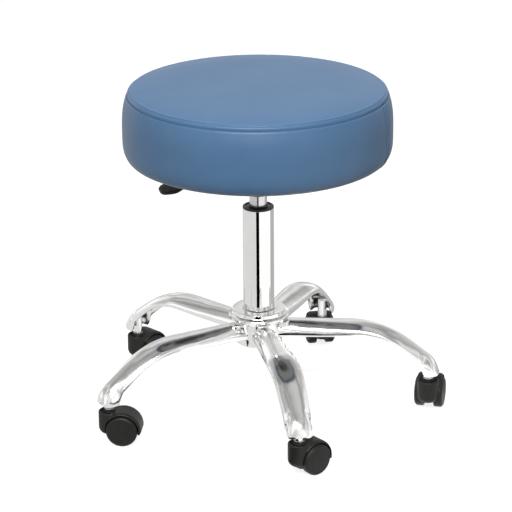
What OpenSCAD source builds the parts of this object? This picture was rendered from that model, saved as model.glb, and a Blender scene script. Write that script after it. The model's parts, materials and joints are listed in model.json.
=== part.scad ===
// Round padded stool on a gas lift, with a five-arm cast base and twin-wheel casters.
// Millimetres. +Z is up, the origin is on the floor under the column, and arm 1 points along -Y.

/* [Seat] */
// Height of the seam at the seat's top edge
seat_seam_z = 538; // [500:1:560]
// Radius of the seat at that seam
seat_seam_r = 202; // [190:1:210]
// Widest radius of the seat
seat_r = 214; // [212:1:225]
// Rise of the flat top above the seam
seat_crown = 7; // [4:0.5:10]
// Radius of the flat part of the top
seat_flat_r = 120; // [90:5:150]
// Thickness of the seat cover
vinyl_t = 1.5; // [1:0.1:2]
// Thickness of the plywood board
board_t = 12; // [10:1:15]

/* [Column] */
// Outer radius of the column tube
column_r = 25; // [25:0.1:25.4]
// Height of the column tube's top end
column_top_z = 342; // [335:1:345]
// Outer radius of the pressure tube
tube_r = 14; // [14:0.1:14.4]
// Radius of the piston rod
rod_r = 5; // [4.5:0.1:5]

/* [Base] */
// Distance from the column's axis to each caster stem
stem_circle_r = 275; // [270:1:285]
// Height of an arm's top edge beside the hub
arm_top_z = 151.6; // [149:0.2:154]
// Widest half width of an arm
arm_half_w = 25; // [22:0.5:26]

/* [Casters] */
// Radius of a wheel
wheel_r = 25; // [24:0.1:25]
// Height of a wheel's axle
axle_z = 25; // [25:0.1:26]
// Distance from the stem's axis back to the axle
trail = 21; // [19:0.5:22]
// Radius of a caster stem
stem_r = 5.5; // [5:0.1:5.5]

/* [Lever] */
// Distance from the column's axis to the lever's pivot
lever_pivot_r = 35; // [34:1:36]
// Slope of the lever's outer arm, as fall over run
lever_slope = 0.25; // [0.23:0.01:0.27]

/* [Hidden] */
ROUND = 96;
SMALL = 32;
ARM_COUNT = 5;
ARM_STEP = 360 / ARM_COUNT;
ARM_ANGLES = [for (i = [0:ARM_COUNT - 1]) 270 + i * ARM_STEP];
// Direction from each stem back to its axle
TRAIL_ANGLES = [27, 64, 87, 32, -18];
fit_gap = 0.05;

// Seat heights, from the floor
seat_wide_z = seat_seam_z - 72;
seat_bottom_z = seat_seam_z - 113.5;
board_z = seat_bottom_z + 2;
board_r = 188;
hem_r = 158;
plate_top_z = board_z - 0.5;
plate_t = 2.5;
bolt_offset = 60;

// Gas lift heights, from the floor
column_bottom_z = 112;
column_wall = 1.6;
bore_r = column_r - column_wall;
thrust_z = 116;
washer_t = 2;
ball_r = 2;
ball_circle_r = 10;
ball_count = 12;
buffer_z = thrust_z + 2 * washer_t + 2 * ball_r;
tube_bottom_z = 165;
tube_top_z = 395;
tube_wall = 1.8;
tube_bore_r = tube_r - tube_wall;
cone_z = 365;
cone_drop = 1;
piston_z = 284;
piston_t = 12;
button_top_z = 400.9;
button_r = 2.5;

// Lever
lever_z = 405.5;
lever_bar_r = 4.5;
lever_pin_r = 2;
lever_bend_x = -62;
lever_angle = atan(lever_slope);

// Caster, in its own frame: the stem's axis is Z and the axle is at +X
hood_r = 30.6;
well_r = 27;
well_y = 8;
fender_half_w = 21;
housing_r = 17.8;
rim_z = 53.5;
foot_z = 15;
hook_z = 19;
wheel_in_y = 8.6;
wheel_out_y = 23.6;
axle_r = 3;
axle_half = 18;
stem_low_z = 26;
stem_top_z = 84;
washer_z = 56.4;

// Arm outline along its length
arm_root_r = 34;
arm_bend_r = stem_circle_r - 125;
arm_bend_radius = 151.3;
arm_bend_angle = 36.5;
arm_tip_start_r = stem_circle_r - 2;
arm_tip_radius = 50;
arm_cut_z = 66;
arm_tip_reach = 18;
arm_tip_r = stem_circle_r + arm_tip_reach;
arm_crown = 1.4;
arm_depth = 16.6;
stem_flange_r = 7.8;
stem_boss_r = 7.7;

// ---- shared helpers ----

// A ring or disc standing on height z
module ring(z, h, outer, inner = 0) {
    translate([0, 0, z]) difference() {
        cylinder(r = outer, h = h, $fn = ROUND);
        if (inner > 0) translate([0, 0, -1]) cylinder(r = inner, h = h + 2, $fn = ROUND);
    }
}

// Moves a shape to caster stem i, with the stem's axis on Z
module at_stem(i) {
    rotate([0, 0, ARM_ANGLES[i]]) translate([stem_circle_r, 0, 0]) children();
}

// Moves a shape to caster i and turns it so that the axle trails along +X
module at_caster(i) {
    rotate([0, 0, ARM_ANGLES[i]]) translate([stem_circle_r, 0, 0])
        rotate([0, 0, TRAIL_ANGLES[i] - ARM_ANGLES[i]]) children();
}

// A cylinder along Y through the axle's place, from y = from to y = to
module across_axle(r, from, to) {
    translate([trail, from, axle_z]) rotate([-90, 0, 0]) cylinder(r = r, h = to - from, $fn = ROUND);
}

// Repeats a shape at the four bolt places
module at_bolts() {
    for (x = [-bolt_offset, bolt_offset]) {
        for (y = [-bolt_offset, bolt_offset]) {
            translate([x, y, 0]) children();
        }
    }
}

// ---- seat outline ----

// Points from the top seam down to the widest place
SIDE_UPPER = [for (i = [0:10]) let (t = i / 10)
    [seat_r - (seat_r - seat_seam_r) * pow(1 - t, 3.35), seat_seam_z - 72 * t]];
// Points from the widest place round to the underside
SIDE_LOWER = [for (a = [9:9:90])
    [183.4 + (seat_r - 183.4) * pow(cos(a), 2 / 2.9),
     seat_wide_z - (seat_wide_z - seat_bottom_z) * pow(sin(a), 2 / 2.9)]];
SIDE = concat(SIDE_UPPER, SIDE_LOWER, [[hem_r, seat_bottom_z]]);

// Unit vector from one point to another
function unit(a, b) = (b - a) / norm(b - a);
// Point i of a line of points, moved inwards by t
function inset_point(p, i, t) =
    let (a = p[max(i - 1, 0)], b = p[min(i + 1, len(p) - 1)], d = unit(a, b))
    p[i] + t * [d[1], -d[0]];
SIDE_INNER = [for (i = [0:len(SIDE) - 1]) inset_point(SIDE, i, vinyl_t)];

// Top of the seat at radius r: flat in the middle, easing down to the seam
function top_z(r) = seat_seam_z + seat_crown
    * (r < seat_flat_r ? 1 : 1 - pow((r - seat_flat_r) / (seat_seam_r - seat_flat_r), 2.4));
TOP_R = [for (i = [0:8]) seat_flat_r + i * (seat_seam_r - seat_flat_r) / 8];
TOP = concat([[0, top_z(0)]], [for (r = TOP_R) [r, top_z(r)]]);
TOP_INNER_R = [for (i = [0:8]) seat_flat_r + i * (seat_seam_r - vinyl_t - seat_flat_r) / 8];
TOP_INNER = concat([[0, top_z(0) - vinyl_t]], [for (r = TOP_INNER_R) [r, top_z(r) - vinyl_t]]);

function backwards(p) = [for (i = [len(p) - 1:-1:0]) p[i]];

module seat_top_panel() {
    color([0.42, 0.54, 0.66])
    rotate_extrude($fn = ROUND) polygon(concat(TOP, backwards(TOP_INNER)));
}

module seat_side_band() {
    first = [SIDE_INNER[0][0], seat_seam_z - vinyl_t];
    inner = concat([first], [for (i = [1:len(SIDE_INNER) - 1]) SIDE_INNER[i]]);
    color([0.30, 0.42, 0.55])
    rotate_extrude($fn = ROUND)
        polygon(concat(SIDE, backwards(inner)));
}

module seat_foam() {
    // The foam fills the cover, with a pocket below for the board
    clear_r = 0.3;
    side = [for (i = [1:len(SIDE_INNER) - 4]) SIDE_INNER[i] - [clear_r, 0]];
    foam_top = [for (p = TOP_INNER) p - [p[0] > 0 ? clear_r : 0, clear_r]];
    pocket = [[board_r, board_z + 1], [board_r, board_z + board_t], [0, board_z + board_t]];
    color([0.93, 0.88, 0.72])
    rotate_extrude($fn = ROUND) polygon(concat(foam_top, side, pocket));
}

module seat_board() {
    color([0.76, 0.60, 0.42])
    difference() {
        ring(board_z, board_t, board_r);
        at_bolts() translate([0, 0, board_z - 1]) cylinder(r = 5, h = board_t + 2, $fn = SMALL);
        at_bolts() translate([0, 0, board_z + board_t - 1.5]) cylinder(r = 10, h = 3, $fn = SMALL);
    }
}

module dust_cover() {
    low = seat_bottom_z - 0.5;
    color([0.62, 0.62, 0.61])
    difference() {
        rotate_extrude($fn = ROUND)
            polygon([[0, plate_top_z], [hem_r - 4, plate_top_z], [hem_r - 0.5, low], [172, low],
                     [172, seat_bottom_z], [hem_r - 0.1, seat_bottom_z], [hem_r - 2.6, board_z], [0, board_z]]);
        at_bolts() translate([0, 0, board_z - 3]) cylinder(r = 5, h = 6, $fn = SMALL);
    }
}

module cover_staples() {
    staple_count = 36;
    color([0.75, 0.75, 0.76])
    for (i = [0:staple_count - 1]) {
        rotate([0, 0, i * 360 / staple_count]) translate([165, -5, seat_bottom_z - 1]) cube([1.1, 10, 0.5]);
    }
}

// ---- seat plate and its fasteners ----

pan_x = 52;
pan_y = 24.5;
pan_z = 386;

module seat_plate() {
    flange_half = 76;
    flange_z = plate_top_z - plate_t;
    color([0.08, 0.08, 0.09])
    difference() {
        union() {
            translate([0, 0, flange_z]) linear_extrude(plate_t) difference() {
                square(2 * flange_half, center = true);
                for (a = [45:90:315]) {
                    rotate(a) translate([98, -20]) square(40);
                }
            }
            translate([-pan_x, -pan_y, pan_z]) cube([2 * pan_x, 2 * pan_y, flange_z + 1 - pan_z]);
        }
        // Hollow of the pressed pan
        translate([-pan_x + plate_t, -pan_y + plate_t, pan_z + plate_t])
            cube([2 * (pan_x - plate_t), 2 * (pan_y - plate_t), 60]);
        // Hole for the cone socket
        translate([0, 0, pan_z - 5]) cylinder(r = 18, h = 20, $fn = ROUND);
        // Slot for the lever
        translate([-pan_x - 5, -8, 394]) cube([12, 16, 22]);
        // Holes for the lever's pin
        translate([-lever_pivot_r, -40, lever_z]) rotate([-90, 0, 0])
            cylinder(r = lever_pin_r, h = 80, $fn = SMALL);
        at_bolts() translate([0, 0, flange_z - 5]) cylinder(r = 4.5, h = 12, $fn = SMALL);
    }
}

module cone_socket() {
    // Tapered bore that grips the pressure tube's tapered top end
    color([0.08, 0.08, 0.09])
    rotate_extrude($fn = ROUND)
        polygon([[tube_r, cone_z], [18, cone_z], [18, tube_top_z - 1], [16.5, tube_top_z],
                 [tube_r - cone_drop, tube_top_z]]);
}

module plate_bolts() {
    head_z = plate_top_z - plate_t - 1.6;
    color([0.70, 0.71, 0.73])
    at_bolts() {
        translate([0, 0, head_z - 5.3]) cylinder(r = 7.5, h = 5.3, $fn = 6);
        translate([0, 0, head_z - 1]) cylinder(r = 4, h = 17, $fn = SMALL);
    }
}

module bolt_washers() {
    color([0.75, 0.76, 0.78])
    at_bolts() ring(plate_top_z - plate_t - 1.6, 1.6, 8.5, 4.2);
}

module tee_nuts() {
    top = board_z + board_t;
    color([0.72, 0.70, 0.60])
    at_bolts() {
        ring(board_z + 1.5, board_t - 2, 5, 4);
        ring(top - 1.5, 1.5, 10, 4);
    }
}

module lever_pin() {
    color([0.72, 0.73, 0.75])
    translate([-lever_pivot_r, -pan_y - 2, lever_z]) rotate([-90, 0, 0])
        cylinder(r = lever_pin_r, h = 2 * pan_y + 4, $fn = SMALL);
}

// ---- lever ----

module lever_rod() {
    out_len = 58;
    color([0.10, 0.10, 0.11])
    difference() {
        union() {
            // Inner arm, over the release pin
            translate([lever_bend_x, 0, lever_z]) rotate([0, 90, 0])
                cylinder(r = lever_bar_r, h = 5 - lever_bend_x, $fn = SMALL);
            // Knuckle of the bend, a little fuller than the bar
            translate([lever_bend_x, 0, lever_z]) sphere(r = lever_bar_r + 0.3, $fn = SMALL);
            // Outer arm, sloping down to the paddle
            translate([lever_bend_x, 0, lever_z]) rotate([0, -90 - lever_angle, 0])
                cylinder(r = lever_bar_r, h = out_len, $fn = SMALL);
        }
        translate([-lever_pivot_r, -20, lever_z]) rotate([-90, 0, 0])
            cylinder(r = lever_pin_r + fit_gap, h = 40, $fn = SMALL);
    }
}

// Outline of the paddle: u runs outwards from the pivot, v is across
PADDLE = [[50, -7], [72, -8.5], [80, -11], [88, -16.5], [94, -22], [99, -26], [104, -28], [109, -27.5],
          [122, -18.5], [125, -15], [126.5, -8], [127, 0], [126.5, 8], [125, 15], [122, 18.5],
          [109, 27.5], [104, 28], [99, 26], [94, 22], [88, 16.5], [80, 11], [72, 8.5], [50, 7]];

module lever_paddle() {
    slab_t = 5.5;
    hub_len = 30;
    color([0.09, 0.09, 0.09])
    // On the outer arm's axis, with u = 0 level with the pivot
    translate([lever_bend_x, 0, lever_z]) rotate([0, -lever_angle, 0])
    translate([-lever_pivot_r - lever_bend_x, 0, 0]) difference() {
        union() {
            translate([0, 0, -slab_t / 2]) mirror([1, 0, 0]) linear_extrude(slab_t) polygon(PADDLE);
            translate([-48 - hub_len, 0, 0]) rotate([0, 90, 0]) cylinder(r = 7.5, h = hub_len, $fn = SMALL);
        }
        translate([-86.5, 0, 0]) rotate([0, 90, 0]) cylinder(r = lever_bar_r, h = 60, $fn = SMALL);
    }
}

// ---- gas lift ----

module column_tube() {
    color([0.86, 0.86, 0.87])
    difference() {
        ring(column_bottom_z, column_top_z - column_bottom_z, column_r);
        ring(thrust_z, 400, bore_r);
        ring(column_bottom_z - 5, 20, rod_r + 0.6);
    }
}

module guide_bush() {
    lip = column_r;
    t = column_top_z;
    color([0.05, 0.05, 0.05])
    rotate_extrude($fn = ROUND)
        polygon([[tube_r + fit_gap, t - 60], [bore_r, t - 60], [bore_r, t], [lip, t], [lip, t + 2.2],
                 [lip - 0.8, t + 3], [lip - 2.4, t + 3], [lip - 4, t + 2.2], [lip - 6, t + 2.4],
                 [lip - 9, t + 4], [tube_r + 1, t + 4.5], [tube_r + fit_gap, t + 4.2]]);
}

module lower_thrust_washer() {
    color([0.70, 0.71, 0.73]) ring(thrust_z, washer_t, 15, rod_r + 0.6);
}

module upper_thrust_washer() {
    color([0.70, 0.71, 0.73]) ring(buffer_z - washer_t, washer_t, 15, rod_r);
}

module thrust_ball_cage() {
    color([0.85, 0.80, 0.55])
    difference() {
        ring(thrust_z + washer_t + 1, 2, 14, 6.5);
        thrust_ball_places(ball_r + fit_gap);
    }
}

module thrust_ball_places(r) {
    for (i = [0:ball_count - 1]) {
        rotate([0, 0, i * 360 / ball_count]) translate([ball_circle_r, 0, thrust_z + washer_t + ball_r])
            sphere(r = r, $fn = SMALL);
    }
}

module thrust_balls() {
    color([0.80, 0.81, 0.83]) thrust_ball_places(ball_r);
}

module rubber_buffer() {
    color([0.12, 0.12, 0.12]) ring(buffer_z, 9.6, 12.5, rod_r);
}

module piston_rod() {
    clip_z = column_bottom_z - 3;
    color([0.82, 0.83, 0.84])
    difference() {
        ring(clip_z - 2, piston_z + piston_t - clip_z + 2, rod_r);
        ring(clip_z, 1.2, rod_r + 2, rod_r - 1);
    }
}

module rod_clip() {
    clip_z = column_bottom_z - 3;
    color([0.55, 0.56, 0.58])
    difference() {
        ring(clip_z, 1.2, 9.5, rod_r - 1);
        translate([0, -2, clip_z - 1]) cube([20, 4, 4]);
    }
}

module piston() {
    color([0.60, 0.60, 0.62])
    difference() {
        ring(piston_z, piston_t, tube_bore_r - 0.5, rod_r);
        ring(piston_z + 4, 4, 20, tube_bore_r - 2.5);
    }
}

module piston_seal() {
    color([0.12, 0.12, 0.12]) ring(piston_z + 4, 4, tube_bore_r - fit_gap, tube_bore_r - 2.5);
}

module pressure_tube() {
    color([0.80, 0.81, 0.82])
    difference() {
        union() {
            ring(tube_bottom_z, cone_z - tube_bottom_z, tube_r);
            translate([0, 0, cone_z])
                cylinder(r1 = tube_r, r2 = tube_r - cone_drop, h = tube_top_z - cone_z, $fn = ROUND);
        }
        ring(tube_bottom_z - 1, cone_z - tube_bottom_z + 1, tube_bore_r);
        translate([0, 0, cone_z - 0.01])
            cylinder(r = tube_bore_r - cone_drop, h = tube_top_z - cone_z - 2, $fn = ROUND);
        ring(tube_top_z - 10, 20, button_r + 1.5);
    }
}

module rod_guide() {
    color([0.20, 0.20, 0.22]) ring(tube_bottom_z, 18, tube_bore_r, rod_r + fit_gap);
}

module rod_seal() {
    color([0.12, 0.12, 0.12]) ring(tube_bottom_z + 18, 5, tube_bore_r, rod_r + fit_gap);
}

module valve_body() {
    top = tube_top_z - 2.1;
    color([0.78, 0.72, 0.50])
    difference() {
        union() {
            ring(340, cone_z - 340, tube_bore_r);
            ring(cone_z - 1, top - cone_z + 1, tube_bore_r - cone_drop);
        }
        ring(360, 60, button_r + fit_gap);
    }
}

module release_pin() {
    color([0.85, 0.85, 0.86])
    ring(370, button_top_z - 370, button_r);
}

// ---- star base ----

// Height of an arm's top edge at radius r
function arm_top(r) =
    let (bend_end = arm_bend_r + arm_bend_radius * sin(arm_bend_angle),
         bend_z = arm_top_z - arm_bend_radius * (1 - cos(arm_bend_angle)),
         tip_z = bend_z - (arm_tip_start_r - bend_end) * tan(arm_bend_angle))
    r < arm_bend_r ? arm_top_z
    : r < bend_end ? arm_top_z - arm_bend_radius + sqrt(pow(arm_bend_radius, 2) - pow(r - arm_bend_r, 2))
    : r < arm_tip_start_r ? bend_z - (r - bend_end) * tan(arm_bend_angle)
    : let (s = sin(arm_bend_angle) + (r - arm_tip_start_r) / arm_tip_radius)
      max(arm_cut_z + 3, tip_z - arm_tip_radius * (cos(arm_bend_angle) - sqrt(1 - pow(s, 2))));

// Height of an arm's bottom edge at radius r
function arm_bottom(r) =
    let (bend_r = arm_bend_r + 13, radius = 108.9, angle = 40, end_r = bend_r + radius * sin(angle),
         low_z = arm_top_z - arm_depth - radius * (1 - cos(angle)), foot_r = stem_circle_r - 13)
    r < bend_r ? arm_top_z - arm_depth - 0.055 * (bend_r - r)
    : r < end_r ? arm_top_z - arm_depth - radius + sqrt(pow(radius, 2) - pow(r - bend_r, 2))
    : r < foot_r ? low_z - (r - end_r) * tan(angle)
    : max(arm_cut_z, low_z - (foot_r - end_r) * tan(angle) - 2.1 * (r - foot_r));

// Half width of an arm at radius r, with a round tip
function arm_width(r) =
    let (mid_r = 165, end_w = arm_half_w - 4.2, round_r = stem_circle_r + 1)
    r < mid_r ? 18 + (arm_half_w - 18) * pow(sin(90 * (r - arm_root_r) / (mid_r - arm_root_r)), 1.3)
    : r < round_r ? arm_half_w - (arm_half_w - end_w) * (1 - cos(90 * (r - mid_r) / (round_r - mid_r)))
    : end_w * sqrt(max(0.05, 1 - pow((r - round_r) / (arm_tip_r + 0.6 - round_r), 2.4)));

// Depth of the open channel under an arm at radius r
function channel_depth(r) =
    let (full = 0.62 * (arm_top(r) - arm_bottom(r)), fade = min(1, max(0, (r - 55) / 60)),
         end_fade = r > stem_circle_r + arm_tip_reach / 2 ? 0.04 : 1)
    max(0.8, full * fade * end_fade);

// Right half of an arm's section at radius r, from the crown to the channel's middle
function arm_half_section(r) =
    let (top = arm_top(r), low = arm_bottom(r), w = arm_width(r), h = top - low, k = min(1, w / 20),
         c = min(arm_crown, h * 0.25), ch = channel_depth(r))
    [[0, top + c], [w * 0.25, top + 0.85 * c], [w * 0.45, top - h * 0.03], [w * 0.76, top - h * 0.28],
     [w, low + h * 0.14], [w - 1.2 * k, low], [w - 4 * k, low],
     [w - 5.5 * k, low + ch * 0.6], [0, low + ch]];

function arm_section(r) =
    let (half = arm_half_section(r), n = len(half))
    concat(half, [for (i = [n - 2:-1:1]) [-half[i][0], half[i][1]]]);

ARM_STATIONS = concat([arm_root_r, 46, 60], [for (r = [80:22:146]) r], [for (r = [158:12:242]) r],
    [254, 262, 268], [for (k = [0, 0.25, 0.5, 0.68, 0.84, 0.94, 1]) stem_circle_r + k * arm_tip_reach]);

// One arm, swept along +X as a skin of triangles
module arm() {
    sections = [for (r = ARM_STATIONS) arm_section(r)];
    n = len(sections[0]);
    m = len(sections);
    points = [for (i = [0:m - 1]) for (p = sections[i]) [ARM_STATIONS[i], p[0], p[1]]];
    sides = [for (i = [0:m - 2]) for (j = [0:n - 1])
        let (a = i * n + j, b = i * n + (j + 1) % n)
        each [[a, b, a + n], [b, b + n, a + n]]];
    root = [[for (j = [n - 1:-1:0]) j]];
    tip = [[for (j = [0:n - 1]) (m - 1) * n + j]];
    polyhedron(points = points, faces = concat(sides, root, tip), convexity = 6);
}

module star_base() {
    color([0.82, 0.82, 0.83])
    difference() {
        union() {
            // Hub with its collar
            rotate_extrude($fn = ROUND)
                polygon([[column_r - 5, 113], [35, 113], [37, 115], [37.5, 125], [36, 151], [38, 154.5],
                         [46, 157], [48.6, 159.6], [49.2, 162], [48.4, 164.6], [42, 171.4], [40.5, 172],
                         [column_r - 5, 172]]);
            for (a = ARM_ANGLES) {
                rotate([0, 0, a]) arm();
            }
            // Bosses that take the caster stems
            for (i = [0:ARM_COUNT - 1]) {
                at_stem(i) ring(washer_z + 2.1, 30, stem_boss_r);
            }
        }
        ring(100, 100, column_r);
        translate([0, 0, 170]) cylinder(r1 = column_r, r2 = column_r + 3, h = 3, $fn = ROUND);
        for (i = [0:ARM_COUNT - 1]) {
            at_stem(i) ring(50, stem_top_z + 0.5 - 50, stem_r + 0.5);
        }
    }
}

// ---- casters ----

module caster_stem(i) {
    groove_z = stem_top_z - 9;
    color([0.74, 0.75, 0.77])
    at_stem(i) difference() {
        union() {
            ring(stem_low_z, stem_top_z - stem_low_z - 1, stem_r);
            translate([0, 0, stem_top_z - 1]) cylinder(r1 = stem_r, r2 = stem_r - 1, h = 1, $fn = SMALL);
            ring(washer_z, 2, stem_flange_r);
        }
        ring(groove_z, 5, stem_r + 1, stem_r - 1);
    }
}

module grip_rings() {
    // Split spring rings in the stems' grooves, which hold the stems in the arms
    groove_z = stem_top_z - 9;
    color([0.45, 0.46, 0.48])
    for (i = [0:ARM_COUNT - 1]) {
        at_stem(i) difference() {
            ring(groove_z + 0.3, 4.4, stem_r + 0.5, stem_r - 0.9);
            translate([0, -1, groove_z - 1]) cube([10, 2, 8]);
        }
    }
}

module caster_hood(i) {
    color([0.11, 0.11, 0.11])
    at_caster(i) difference() {
        union() {
            // Round housing for the stem, with a bowl-shaped foot
            rotate_extrude($fn = ROUND)
                polygon(concat([[0, foot_z], [5, foot_z + 0.2]],
                    [for (a = [-60:15:0]) [housing_r - 12 + 12 * cos(a), foot_z + 12 + 12 * sin(a)]],
                    [[housing_r, rim_z - 1.2], [housing_r - 1, rim_z], [housing_r - 3, rim_z],
                     [housing_r - 3.8, rim_z - 4], [9.5, rim_z - 4], [9.5, rim_z + 1], [0, rim_z + 1]]));
            // Fender over the wheels
            intersection() {
                fender();
                translate([0, -40, hook_z]) cube([80, 80, 80]);
            }
            // Web between the wheels
            intersection() {
                across_axle(well_r + 1, -well_y, well_y);
                translate([0, -20, foot_z]) cube([60, 40, 60]);
            }
        }
        // Wells for the wheels
        across_axle(well_r, well_y, 40);
        across_axle(well_r, -40, -well_y);
        // Slanted end of the fender
        translate([trail + hood_r, -40, axle_z - 2]) rotate([0, 35, 0]) translate([0, 0, -40]) cube([30, 80, 40]);
        ring(stem_low_z - 0.5, 60, stem_r + fit_gap);
        across_axle(axle_r, -40, 40);
    }
}

// Round-shouldered arch about the axle
module fender() {
    half = fender_half_w;
    translate([trail, 0, axle_z]) rotate([-90, 0, 0])
        rotate_extrude($fn = ROUND)
            polygon([[well_r - 1, -half], [hood_r - 4, -half], [hood_r - 1.6, -half + 1.6], [hood_r, -half + 5],
                     [hood_r, half - 5], [hood_r - 1.6, half - 1.6], [hood_r - 4, half], [well_r - 1, half]]);
}

module caster_axle(i) {
    color([0.72, 0.73, 0.75])
    at_caster(i) across_axle(axle_r, -axle_half, axle_half);
}

// Wheel profile: y outwards from the caster's middle against radius
module wheel_shape() {
    edge = 3;
    in_y = wheel_in_y;
    out_y = wheel_out_y;
    rotate_extrude($fn = ROUND)
        polygon(concat(
            [[axle_r + fit_gap, in_y], [7, in_y], [8.5, in_y + 7], [20, in_y + 7], [21.5, in_y],
             [wheel_r - 1, in_y], [wheel_r, in_y + 1]],
            [for (a = [0:15:75]) [wheel_r - edge + edge * cos(a), out_y - edge - 0.8 + edge * sin(a)]],
            [[wheel_r - 4, out_y - 0.7], [12, out_y - 0.1], [0, out_y],
             [0, axle_half + 0.3], [axle_r + fit_gap, axle_half + 0.3]]));
}

module wheel_left(i) {
    color([0.12, 0.12, 0.12])
    at_caster(i) translate([trail, 0, axle_z]) rotate([-90, 0, 0]) wheel_shape();
}

module wheel_right(i) {
    color([0.12, 0.12, 0.12])
    at_caster(i) translate([trail, 0, axle_z]) rotate([90, 0, 0]) wheel_shape();
}

star_base();
column_tube();
guide_bush();
lower_thrust_washer();
thrust_ball_cage();
thrust_balls();
upper_thrust_washer();
rubber_buffer();
piston_rod();
piston();
piston_seal();
rod_clip();
pressure_tube();
rod_guide();
rod_seal();
valve_body();
release_pin();
seat_plate();
cone_socket();
plate_bolts();
bolt_washers();
tee_nuts();
lever_pin();
seat_board();
seat_foam();
seat_top_panel();
seat_side_band();
dust_cover();
cover_staples();
lever_rod();
lever_paddle();
grip_rings();
caster_stem(0);  // caster_stem_1
caster_stem(1);  // caster_stem_2
caster_stem(2);  // caster_stem_3
caster_stem(3);  // caster_stem_4
caster_stem(4);  // caster_stem_5
caster_hood(0);  // caster_hood_1
caster_hood(1);  // caster_hood_2
caster_hood(2);  // caster_hood_3
caster_hood(3);  // caster_hood_4
caster_hood(4);  // caster_hood_5
caster_axle(0);  // caster_axle_1
caster_axle(1);  // caster_axle_2
caster_axle(2);  // caster_axle_3
caster_axle(3);  // caster_axle_4
caster_axle(4);  // caster_axle_5
wheel_left(0);  // wheel_left_1
wheel_left(1);  // wheel_left_2
wheel_left(2);  // wheel_left_3
wheel_left(3);  // wheel_left_4
wheel_left(4);  // wheel_left_5
wheel_right(0);  // wheel_right_1
wheel_right(1);  // wheel_right_2
wheel_right(2);  // wheel_right_3
wheel_right(3);  // wheel_right_4
wheel_right(4);  // wheel_right_5
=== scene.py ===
# %% [markdown]
# # A round padded stool on a gas lift
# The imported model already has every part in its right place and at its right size. This lesson gives the
# visible parts their looks: a crowned vinyl cushion with real seams and stitches, a cast and polished star
# base, chrome, moulded plastic, and the cloth and fasteners underneath. Everything is in metres in the
# model's own frame; shapes are written in millimetres and scaled by `MM` when they become meshes.

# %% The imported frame
import json
import math

import bpy
import numpy as np
from mathutils import Matrix, Vector


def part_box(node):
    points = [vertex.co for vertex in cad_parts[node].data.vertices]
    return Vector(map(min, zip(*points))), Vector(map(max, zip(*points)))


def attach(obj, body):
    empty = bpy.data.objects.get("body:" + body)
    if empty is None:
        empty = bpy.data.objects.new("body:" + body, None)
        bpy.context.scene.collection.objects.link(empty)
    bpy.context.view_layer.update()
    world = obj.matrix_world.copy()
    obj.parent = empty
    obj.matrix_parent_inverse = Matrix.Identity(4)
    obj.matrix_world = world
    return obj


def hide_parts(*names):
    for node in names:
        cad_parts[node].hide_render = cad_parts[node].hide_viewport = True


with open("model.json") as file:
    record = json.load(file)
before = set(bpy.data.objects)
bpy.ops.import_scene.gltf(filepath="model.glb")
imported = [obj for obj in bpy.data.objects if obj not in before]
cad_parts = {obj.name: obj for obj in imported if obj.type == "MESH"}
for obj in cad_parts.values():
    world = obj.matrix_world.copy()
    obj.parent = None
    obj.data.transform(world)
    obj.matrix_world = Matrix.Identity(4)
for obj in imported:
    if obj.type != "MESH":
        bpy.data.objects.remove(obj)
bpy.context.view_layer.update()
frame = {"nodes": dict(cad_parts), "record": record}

MM = 0.001

# %% [markdown]
# ## Places from the frame
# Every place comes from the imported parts, so nothing is fitted by eye. A caster's stem gives its swivel axis,
# and its axle gives the direction in which it trails.

# %% Places of the column, the seat and the casters


def middle(node):
    """Centre of a CAD part's box, in millimetres."""
    low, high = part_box(node)
    return np.array((low + high) / 2) / MM


def reach(node, axis, side):
    """Lowest (side 0) or highest (side 1) coordinate of a CAD part along an axis, in millimetres."""
    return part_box(node)[side][axis] / MM


CASTERS = range(1, 6)
stem_places = [middle(f"caster_stem_{i}")[:2] for i in CASTERS]
axle_places = [middle(f"caster_axle_{i}")[:2] for i in CASTERS]
trail_turns = [math.atan2(*(a - s)[::-1]) for a, s in zip(axle_places, stem_places)]
arm_turns = [math.atan2(s[1], s[0]) for s in stem_places]
stem_circle = float(np.hypot(*stem_places[0]))
trail = float(np.hypot(*(axle_places[0] - stem_places[0])))
axle_z = float(middle("caster_axle_1")[2])
column_r = reach("column_tube", 0, 1)
column_low, column_top = reach("column_tube", 2, 0), reach("column_tube", 2, 1)
print("stem circle", round(stem_circle, 1), "trail", round(trail, 1), "column radius", round(column_r, 2))

# %% [markdown]
# ## Surfaces from grids
# A shape here is a grid of points: one way runs along a profile or path, the other round it. Quads join each
# point to its neighbours, and a way that closes on itself wraps round. A shell's signed volume tells whether
# its faces look outwards, so no shape is left inside out.

# %% Grid faces, poles and shells


def grid_quads(rows, cols, wrap_rows=False, wrap_cols=False):
    """Quads of a rows x cols grid: (i, j), (i+1, j), (i+1, j+1), (i, j+1). A wrapped way counts modulo."""
    i, j = np.meshgrid(np.arange(rows - (not wrap_rows)), np.arange(cols - (not wrap_cols)), indexing="ij")
    i2, j2 = (i + 1) % rows, (j + 1) % cols
    return np.stack([i * cols + j, i2 * cols + j, i2 * cols + j2, i * cols + j2], -1).reshape(-1, 4)


def fan(ring, centre):
    """Triangles that close a ring of point numbers onto one centre point."""
    return np.stack([ring, np.roll(ring, -1), np.full(len(ring), centre)], -1)


def volume(shell):
    """Signed volume: a sixth of the sum of p0 . (p1 x p2) over the triangles of every face."""
    points, faces = shell
    total = 0.0
    for f in faces:
        for k in range(1, f.shape[1] - 1):
            a, b, c = points[f[:, 0]], points[f[:, k]], points[f[:, k + 1]]
            total += np.einsum("ij,ij->", a, np.cross(b, c)) / 6
    return total


def outward(shell):
    """The same closed shell with its faces looking outwards."""
    points, faces = shell
    if volume(shell) < 0:
        faces = [f[:, ::-1] for f in faces]
    return points, faces


def joined(shells):
    """Several shells as one list of points and faces."""
    starts = np.cumsum([0] + [len(p) for p, _ in shells])
    points = np.concatenate([p for p, _ in shells])
    return points, [f + start for (_, faces), start in zip(shells, starts) for f in faces]


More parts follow.
